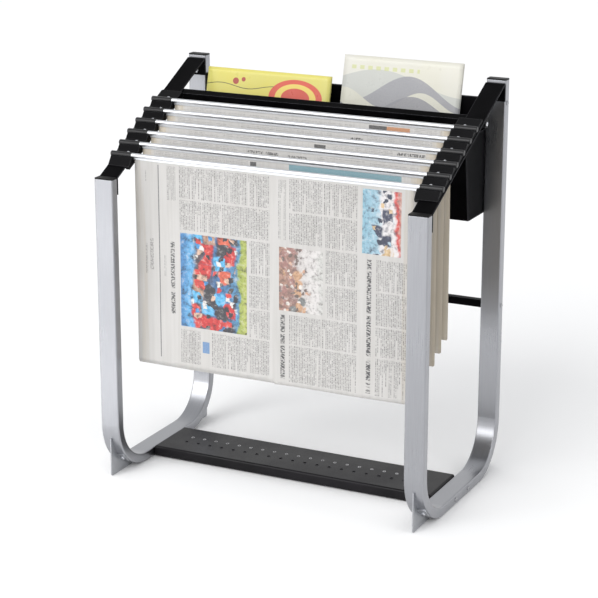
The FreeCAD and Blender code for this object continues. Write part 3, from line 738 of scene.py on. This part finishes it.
topMarks = {
    5: [
        (-40, 12, 20, 23), (20, 232, 8, 19, "teal"), (96, 232, 19.5, 22, "darkBar"), (-250, -60, 9, 24),
        (-56, -44, 10, 18, "darkBar"),
    ],
    4: [
        (-78, -16, 10, 19, "topHead"), (2, 40, 12, 20, "topHead"), (60, 150, 10, 24), (-250, -96, 9, 24),
        (160, 250, 12, 24),
    ],
    3: [
        (-210, -150, 10, 24), (-140, -30, 8, 14), (40, 62, 11, 19, "darkBar"), (76, 190, 9, 24),
        (198, 250, 9, 17, "topHead"),
    ],
    2: [(-250, -150, 9, 24), (-120, 60, 10, 24), (96, 120, 12, 20, "topHead"), (128, 250, 9, 24)],
    1: [
        (-240, -60, 9, 24), (-40, 90, 12, 24), (118, 152, 10, 17, "darkBar"), (152, 196, 10, 17, "orange"),
        (204, 256, 9, 24),
    ],
}


def withKinds(blocks, kind, spread=0):
    return [
        block if len(block) == 5
        else (block[0] - spread, block[1] + spread, block[2] - spread, block[3] + spread, kind)
        for block in blocks
    ]


# Columns of text with a picture here and there, in an order of the seed's own, and a headline at the end
columns = dict(edge=258, last=180, widths=(62, 84, 104), gaps=(5, 12), rows=6, height=54, rowGap=4, foot=372)


def plannedPage(seed, marks):
    rng = random.Random(seed)
    blocks = list(marks)
    kinds = ["pictureBrown", "pictureBlue", "pictureMany"]
    left = -columns["edge"]
    while left < columns["last"]:
        width = rng.choice(columns["widths"])
        right = min(left + width, columns["edge"])
        near = 30 if marks else 14
        chosen = rng.randrange(columns["rows"] + 1)
        for index in range(columns["rows"]):
            far = min(near + columns["height"], columns["foot"])
            if far - near > 20:
                kind = rng.choice(kinds) if index == chosen else "text"
                blocks.append((left, right, near, far, kind))
            near = far + columns["rowGap"]
        left = right + rng.choice(columns["gaps"])
    blocks.append((left + 1, min(left + 14, columns["edge"] + 4), 40, 360, "head"))
    return blocks


# The newspapers: the crease's step, the curled corners and the waved hem lie below "lowerFrom". The fold and
# hang
# levels are painted light: they scale each paper's colour, paler at the folds of the papers behind, where
# shade falls between the hangers, and darker lower down. The end levels say how strongly each paper's ends
# are tinted tan
papers = dict(
    halfWidth=0.2736, drop=0.3865, roundRod=0.012, axisHeight=0.388, sheetsPerPaper=3, sheetThickness=0.00016,
    endRagged=0.0012, hemRagged=0.003, stepX=0.012, stepDown=0.012, ringRadius=0.00245, ringStep=0.0003,
    ringParts=16, neckGap=0.00016, neckDepth=0.0078, wave=0.0026, flare=0.0011, creaseAt=0.007,
    creaseDepth=0.0022, creaseReach=0.035, lowerFrom=0.25, lowerRun=0.15, creaseStep=0.0036,
    creaseWidth=0.0012, curl=0.0016, curlFrom=0.2, curlRun=0.08, hemWave=0.0018,
    paintedFoldLights=(1.03, 1, 1.02, 0.98, 1.01, 0.76), paintedHangLight=0.77, foldReach=0.024,
    ages=(1, 0.9, 1, 0.85, 1, 0.12), tanMargin=0.022, tanRise=1.6,
)


def gridLines(low, high, step, extra):
    count = max(1, round((high - low) / step))
    lines = {round(low + (high - low) * i / count, 5) for i in range(count + 1)}
    fixed = {round(v, 5) for v in extra if low < v < high}
    ends = (round(low, 5), round(high, 5))
    lines = {v for v in lines if v in ends or all(abs(v - f) > step * 0.3 for f in fixed)}
    return sorted(lines | fixed)


def smooth(value):
    value = min(max(value, 0), 1)
    return value * value * (3 - 2 * value)


# Faces between the lines of a grid of points, each with its corners' places in the grid
def quads(mesh, grid, turned=False):
    for i in range(len(grid) - 1):
        for j in range(len(grid[0]) - 1):
            corners = ((i, j), (i, j + 1), (i + 1, j + 1), (i + 1, j))
            if turned:
                corners = corners[:1] + corners[:0:-1]
            face = mesh.faces.new([grid[a][b] for a, b in corners])
            face.smooth = True
            yield face, corners


# How far the whole bundle and one leaf of it stand off the middle plane
def bundleWave(x, down, seed):
    held = smooth((down - 0.008) / 0.09)
    ripple = noise.noise(Vector((x * 9, down * 1.6, seed * 3.1)))
    slow = noise.noise(Vector((x * 3, down * 3, seed * 5.7 + 9)))
    crease = math.exp(-abs(x - papers["creaseAt"]) / papers["creaseReach"]) * papers["creaseDepth"]
    return held * (papers["wave"] * (0.8 * ripple + slow) - crease)


def leafGap(x, down, seed, layer):
    total = papers["neckGap"] + papers["ringStep"] * layer
    opened = smooth((down - papers["neckDepth"]) / 0.25)
    for step in range(layer + 1):
        wander = noise.noise(Vector((x * 6 + step * 7, down * 5, seed * 2.3 + step)))
        total += opened * papers["flare"] * (0.55 + 0.45 * wander) * (1 if step else 0.4)
    return total


# The block that a face lies in: its corner and size in metres, what is printed there, and its number
def blockAt(blocks, x, down):
    for index, (left, right, near, far, kind) in enumerate(blocks):
        if left < x * 1000 < right and near < down * 1000 < far:
            return left / 1000, near / 1000, (right - left) / 1000, (far - near) / 1000, kind, index + 1
    return -0.3, 0, 0.6, 0.4, "bare", 0


def paperSheet(name, number, axis, layer, finishes, pages):
    rng = random.Random(number * 10 + layer)
    half = papers["halfWidth"] - rng.uniform(0, papers["endRagged"])
    drops = [papers["drop"] - rng.uniform(0, papers["hemRagged"]) for side in (0, 1)]
    edges = [v / 1000 for block in pages[0] + pages[1] for v in block[:2]]
    crease = [papers["creaseAt"] + side * papers["creaseWidth"] / 2 for side in (-1, 1)]
    xs = gridLines(-half, half, papers["stepX"], edges + crease)
    rows = []
    for side, blocks, drop in zip((-1, 1), pages, drops):
        stops = [v / 1000 for block in blocks for v in block[2:4]]
        downs = gridLines(papers["neckDepth"], drop, papers["stepDown"], stops)
        rows.append([(side, down) for down in downs])
    radius = papers["ringRadius"] + papers["ringStep"] * layer
    start = math.pi - math.asin((papers["neckGap"] + papers["ringStep"] * layer) / radius)
    parts = papers["ringParts"]
    turns = [(0, -start + 2 * start * i / parts) for i in range(parts + 1)]
    stations = rows[0][::-1] + turns + rows[1]

    def standOff(side, x, down):
        lower = smooth((down - papers["lowerFrom"]) / papers["lowerRun"])
        corner = smooth((abs(x) - papers["curlFrom"]) / papers["curlRun"])
        y = side * leafGap(x, down, number, layer) + bundleWave(x, down, number)
        y += side * papers["curl"] * lower * corner * noise.noise(Vector((x * 2, layer, number)))
        z = -down - papers["hemWave"] * lower * noise.noise(Vector((x * 3, side * 4 + layer, number)))
        if side < 0:
            z += papers["creaseStep"] * lower * smooth((papers["creaseAt"] - x) / papers["creaseWidth"] + 0.5)
        return y, z

    mesh = bmesh.new()
    pageMap = mesh.loops.layers.uv.new("page")
    blockMap = mesh.loops.layers.uv.new("block")
    grid, downAt = [], []
    for side, value in stations:
        line = []
        for x in xs:
            y, z = standOff(side, x, value) if side else (radius * math.sin(value), radius * math.cos(value))
            line.append(mesh.verts.new((x, axis[0] + y, axis[1] + z)))
        grid.append(line)
        downAt.append(side * value if side else 0)
    kinds = list(finishes)
    for face, corners in quads(mesh, grid):
        r, c = corners[0]
        middle, down = (xs[c] + xs[c + 1]) / 2, (downAt[r] + downAt[r + 1]) / 2
        left, near, width, length, kind, index = blockAt(pages[0 if down < 0 else 1], middle, abs(down))
        face.material_index = kinds.index(kind)
        for loop, (row, column) in zip(face.loops, corners):
            across, along = xs[column] - left, abs(downAt[row]) - near
            loop[pageMap].uv = (across, along + index * newsprint["stride"])
            loop[blockMap].uv = (across / width, along / length)
    data = keepMesh(name, mesh)
    # Painted light: each paper's colour level runs from its fold level to the darker hang level below the
    # fold
    paintedFoldLight, paintedHangLight, fold = papers["paintedFoldLights"][number - 1], papers["paintedHangLight"], papers["foldReach"]
    # How strongly the ends are tinted tan, and over what margin
    margin, endTanLevel = papers["tanMargin"], papers["ages"][number - 1]
    shares = [smooth((abs(down) - fold) / fold) for down in downAt]
    ends = [(abs(vert.co.x) - half + margin) / margin * papers["tanRise"] for vert in data.vertices]
    for label, values in (
        ("paintedLight", [paintedFoldLight + (paintedHangLight - paintedFoldLight) * share for share in shares for x in xs]),
        ("age", [endTanLevel * smooth(end) for end in ends]),
    ):
        data.attributes.new(label, "FLOAT", "POINT").data.foreach_set("value", values)
    for kind in kinds:
        data.materials.append(finishes[kind])
    sheet = addObject(name, data)
    thicken(sheet, "paperThickness", papers["sheetThickness"])
    return sheet


def hangPapers(finishes):
    for number in range(1, 7):
        node = f"newspaper_{number}"
        low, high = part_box(node)
        axis = ((low.y + high.y) / 2, low.z + papers["axisHeight"])
        front = (withKinds(frontPage, "text", textSpread) if number == 6
                 else plannedPage(number, withKinds(topMarks[number], "across")))
        for layer in range(papers["sheetsPerPaper"]):
            outer = layer == papers["sheetsPerPaper"] - 1
            pages = [front if outer else plannedPage(number * 7 + layer, [])]
            pages.append(plannedPage(number * 11 + layer, []))
            sheet = paperSheet(f"newsLeaf{number}Layer{layer + 1}", number, axis, layer, finishes, pages)
            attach(sheet, f"hanger_{number}")
            if layer == 0:
                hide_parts(node)


# Magazines: a cover folded round a block of leaves
magazines = dict(
    magazine_left=dict(lean=13.94, thickness=0.006, cover=0.0004, pages=22, finish="yellow", bow=0.0016),
    magazine_right=dict(lean=13.94, thickness=0.008, cover=0.0004, pages=30, finish="cream", bow=0.0012),
)
binding = dict(
    columns=24, rows=26, spineParts=8, spineBulge=0.0006, spineStart=0.0002, spineRoom=0.0009,
    coverShare=0.999, leafColumns=12, leafRows=10, leafInset=0.0012, leafStart=0.0015, leafEnd=0.0016,
    leafGap=0.0001, leafFill=0.86, stapleIn=0.0003, stapleShares=(0.27, 0.73),
)

# What is drawn on the covers, in metres from the foot of the spine: a disc is its middle, radius, the share
# of its width that is left and its colour; a ridge is its height, swing, speed, phase and colour
yellowCover = dict(
    wash=(9, 4), tints=((0.685, 0.605, 0.115), (0.66, 0.62, 0.19)), softEdge=0.0004,
    discs=[
        ((0.186, 0.182), 0.034, 0.62, (0.66, 0.1, 0.06)), ((0.186, 0.182), 0.026, 0.62, (0.8, 0.62, 0.14)),
        ((0.186, 0.182), 0.018, 0.62, (0.62, 0.09, 0.06)), ((0.06, 0.205), 0.006, 1, (0.4, 0.07, 0.05)),
        ((0.076, 0.209), 0.004, 1, (0.4, 0.07, 0.05)), ((0.052, 0.088), 0.03, 0.8, (0.64, 0.26, 0.08)),
        ((0.06, 0.08), 0.02, 0.8, (0.74, 0.58, 0.14)), ((0.15, 0.05), 0.011, 1, (0.6, 0.1, 0.06)),
        ((0.176, 0.06), 0.006, 1, (0.4, 0.07, 0.05)),
    ],
    line=dict(height=0.196, swing=0.004, speed=55, half=0.0006, end=0.14, ink=(0.06, 0.05, 0.04)),
)
creamCover = dict(
    wash=(7, 3), tints=((0.62, 0.605, 0.51), (0.65, 0.64, 0.6)),
    ridges=[
        (0.228, 0.02, 19, 0.2, (0.49, 0.5, 0.47)), (0.214, 0.026, 27, 4.3, (0.29, 0.29, 0.31)),
        (0.196, 0.016, 41, 1.4, (0.6, 0.59, 0.5)), (0.186, 0.018, 33, 3.2, (0.25, 0.25, 0.27)),
        (0.13, 0.014, 24, 2.1, (0.46, 0.47, 0.43)), (0.098, 0.02, 30, 0.6, (0.31, 0.31, 0.33)),
        (0.052, 0.012, 38, 5, (0.57, 0.56, 0.47)),
    ],
    dashes=dict(
        height=0.25, half=0.0035, start=0.014, end=0.15, perMetre=62, share=0.55, strength=0.7,
        ink=(0.52, 0.55, 0.22),
    ),
)


def drawnYellow(look, place, x, y, colour):
    for centre, radius, stretch, tint in look["discs"]:
        dx = times(minus(x, centre[0]), stretch)
        dy = minus(y, centre[1])
        far = calc("SQRT", plus(calc("POWER", dx, 2), calc("POWER", dy, 2)))
        colour = mixColour(remap(far, radius + look["softEdge"], radius), colour, tint)
    line = look["line"]
    ripple = times(calc("SINE", times(x, line["speed"])), line["swing"])
    off = absolute(minus(minus(y, line["height"]), ripple))
    return mixColour(times(less(off, line["half"]), less(x, line["end"])), colour, line["ink"])


def drawnCream(look, place, x, y, colour):
    grain = noiseAt(place, 500, 3, 0.7)
    for height, swing, speed, phase, tint in look["ridges"]:
        wave = calc("SINE", plus(times(x, speed), phase))
        ridge = plus(times(wave, swing), height)
        colour = mixColour(times(less(y, ridge), remap(grain, 0.3, 0.6, 0.8, 1)), colour, tint)
    row = look["dashes"]
    dash = less(calc("FRACT", times(x, row["perMetre"])), row["share"])
    band = less(absolute(minus(y, row["height"])), row["half"])
    inside = times(more(x, row["start"]), less(x, row["end"]))
    return mixColour(times(times(times(dash, band), inside), row["strength"]), colour, row["ink"])


def coverMaterial(name, look, drawn):
    material, shader = newMaterial(name)
    place = pagePlace()
    x, y = splitXyz(place)[:2]
    wash = noiseAt(place, *look["wash"], 0.6)
    colour = drawn(look, place, x, y, mixColour(remap(wash, 0.3, 0.7), *look["tints"]))
    scuffs = noiseAt(objectPlace(), 60, 5, 0.7)
    scratches = noiseAt(objectPlace((1, 0.08, 0.08)), 500, 3, 0.7)
    colour = mixColour(remap(scratches, 0.7, 0.8, 0, 0.25), colour, (0.88, 0.87, 0.84))
    rough = remap(scuffs, 0.3, 0.7, 0.24, 0.42)
    fill(shader, {"Base Color": colour, "Roughness": rough, "Normal": bumpFrom(scuffs, 0.00003)})
    return material


def pageEdges():
    material, shader = newMaterial("magazinePages")
    layers = noiseAt(objectPlace((0.05, 1, 0.2)), 2600, 2, 0.8)
    fibres = noiseAt(objectPlace(), 700, 3, 0.6)
    colour = mixColour(remap(layers, 0.3, 0.7), (0.56, 0.55, 0.52), (0.78, 0.77, 0.74))
    colour = mixColour(remap(fibres, 0.4, 0.8, 0, 0.3), colour, (0.6, 0.58, 0.54))
    rough = remap(fibres, 0.3, 0.7, 0.55, 0.75)
    fill(shader, {"Base Color": colour, "Roughness": rough, "Normal": bumpFrom(layers, 0.0001)})
    return material


# The block of leaves: one bowed leaf, repeated through the thickness with ragged ends
def leafGrowth():
    sizes = {"leaves": 20, "step": (0, 0.0002, 0), "ragged": (0.0007, 0, 0.0005), "seed": 7}
    given = newGrowth("leafBlock", sizes)
    line = geo("MeshLine", {"Count": given["leaves"], "Offset": given["step"]}, mode="OFFSET")
    inputs = {0: scaled(given["ragged"], -1), 1: (0, 0, 0), "Seed": given["seed"]}
    jitter = put("FunctionNodeRandomValue", inputs, data_type="FLOAT_VECTOR").outputs[0]
    points = geo("SetPosition", {"Geometry": line, "Offset": jitter})
    return closeGrowth(onPoints(points, given["Base"]), given)


# Wire staples through a magazine's spine, one on each point of the base
def stapleGrowth():
    given = newGrowth("spineStaples", {"length": 0.012, "wire": 0.00028, "along": (0, 0, 1)})
    half = scaled(given["along"], times(given["length"], 0.5))
    line = geo("CurvePrimitiveLine", {"Start": half, "End": scaled(half, -1)})
    return closeGrowth(onPoints(given["Base"], wireAlong(line, given["wire"], 8)), given)


def makeMagazine(node, covers, pagesFinish, stapleFinish, leafTree, stapleTree):
    look = magazines[node]
    low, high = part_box(node)
    lean = math.radians(look["lean"])
    up = Vector((0, math.sin(lean), math.cos(lean)))
    back = Vector((0, math.cos(lean), -math.sin(lean)))
    foot = Vector((low.x, low.y, low.z + look["thickness"] * math.sin(lean)))
    width = high.x - low.x
    height = (high.z - foot.z) / math.cos(lean)

    # A place on the bowed magazine: across, up and through it
    def place(u, w, t):
        bow = look["bow"] * math.sin(math.pi * min(w / height, 1)) * (0.6 + 0.4 * math.sin(u / width * 3))
        return foot + Vector((u, 0, 0)) + up * w + back * (t + bow)

    across, rows, parts = binding["columns"], binding["rows"], binding["spineParts"]
    cover, deep = look["cover"], look["thickness"] - look["bow"]
    path = [(width - width * i / across, cover / 2) for i in range(across + 1)]
    for i in range(1, parts):
        bulge = binding["spineStart"] + binding["spineBulge"] * math.sin(math.pi * i / parts)
        path.append((-bulge, cover / 2 + (deep - cover) * i / parts))
    path += [(width * i / across, deep - cover / 2) for i in range(across + 1)]
    heights = [height * j / rows for j in range(rows + 1)]
    mesh = bmesh.new()
    uvLayer = mesh.loops.layers.uv.new("page")
    grid = [[mesh.verts.new(place(u + binding["spineRoom"], w * binding["coverShare"], t)) for w in heights]
            for u, t in path]
    for face, corners in quads(mesh, grid, turned=True):
        for loop, (a, b) in zip(face.loops, corners):
            loop[uvLayer].uv = (path[a][0], heights[b])
    data = keepMesh(f"{node}Cover", mesh)
    data.materials.append(covers[look["finish"]])
    coverPiece = addObject(f"{node}Cover", data)
    thicken(coverPiece, "coverThickness", cover)

    # One leaf, closed all round, which the tree repeats
    mesh = bmesh.new()
    gap, inset = binding["leafGap"], binding["leafInset"]
    step = (deep - 2 * cover - 2 * gap) / look["pages"]
    first, reach, tall = binding["leafStart"], width - binding["leafEnd"], height - inset
    m, n = binding["leafColumns"], binding["leafRows"]
    sides = []
    for t in (cover + gap, cover + gap + step * binding["leafFill"]):
        sides.append([[
            mesh.verts.new(place(first + (reach - first) * i / m, inset + (tall - inset) * j / n, t))
            for j in range(n + 1)] for i in range(m + 1)])
    for index, side in enumerate(sides):
        for i in range(m):
            for j in range(n):
                quad = (side[i][j], side[i + 1][j], side[i + 1][j + 1], side[i][j + 1])
                mesh.faces.new(quad if index == 0 else quad[::-1])
    rim = [(i, 0) for i in range(m + 1)] + [(m, j) for j in range(1, n + 1)]
    rim += [(i, n) for i in range(m - 1, -1, -1)] + [(0, j) for j in range(n - 1, 0, -1)]
    for (i, j), (k, l) in zip(rim, rim[1:] + rim[:1]):
        mesh.faces.new((sides[0][i][j], sides[1][i][j], sides[1][k][l], sides[0][k][l]))
    bmesh.ops.recalc_face_normals(mesh, faces=mesh.faces)
    sizes = {"leaves": look["pages"], "step": tuple(back * step), "seed": look["pages"]}
    pagesPiece = grow(f"{node}Pages", keepMesh(f"{node}Leaf", mesh), leafTree, sizes, pagesFinish)
    spine = bpy.data.meshes.new(f"{node}Spine")
    seats = [place(binding["stapleIn"], height * share, deep / 2) for share in binding["stapleShares"]]
    spine.from_pydata([tuple(seat) for seat in seats], [], [])
    staples = grow(f"{node}Staples", spine, stapleTree, {"along": tuple(up)}, stapleFinish)

    body = f"{node}_body"
    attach(coverPiece, body)
    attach(pagesPiece, body)
    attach(staples, body)
    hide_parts(node)


def makeFloor():
    half, height = studio["floorSize"] / 2, studio["floorHeight"]
    mesh = bmesh.new()
    corners = ((-half, -half), (half, -half), (half, half), (-half, half))
    mesh.faces.new([mesh.verts.new((x, y, height)) for x, y in corners])
    floor = addObject("studioFloor", keepMesh("studioFloor", mesh))
    material, shader = newMaterial("paleFloor")
    cloud = noiseAt(objectPlace(), 1.2, 2)
    colour = mixColour(cloud, studio["floorDark"], studio["floorLight"])
    rough = remap(cloud, 0.3, 0.7, 0.7, 0.8)
    fill(shader, {"Base Color": colour, "Roughness": rough, "Specular IOR Level": 0.1})
    floor.data.materials.append(material)


makeCamera()
makeLamps()
makeFloor()
print("studio ready")
finishes = dressNodes()
print("finishes ready")
makeScrews(finishes)
makePerforationRims(finishes)
print("screws and rims in place")
hangPapers(makePapers())
print("newspapers hung")
covers = {
    "yellow": coverMaterial("coverYellow", yellowCover, drawnYellow),
    "cream": coverMaterial("coverCream", creamCover, drawnCream),
}
edges, leafTree, stapleTree = pageEdges(), leafGrowth(), stapleGrowth()
for magazineNode in magazines:
    makeMagazine(magazineNode, covers, edges, finishes["screwZinc"], leafTree, stapleTree)
print("magazines in the pocket")
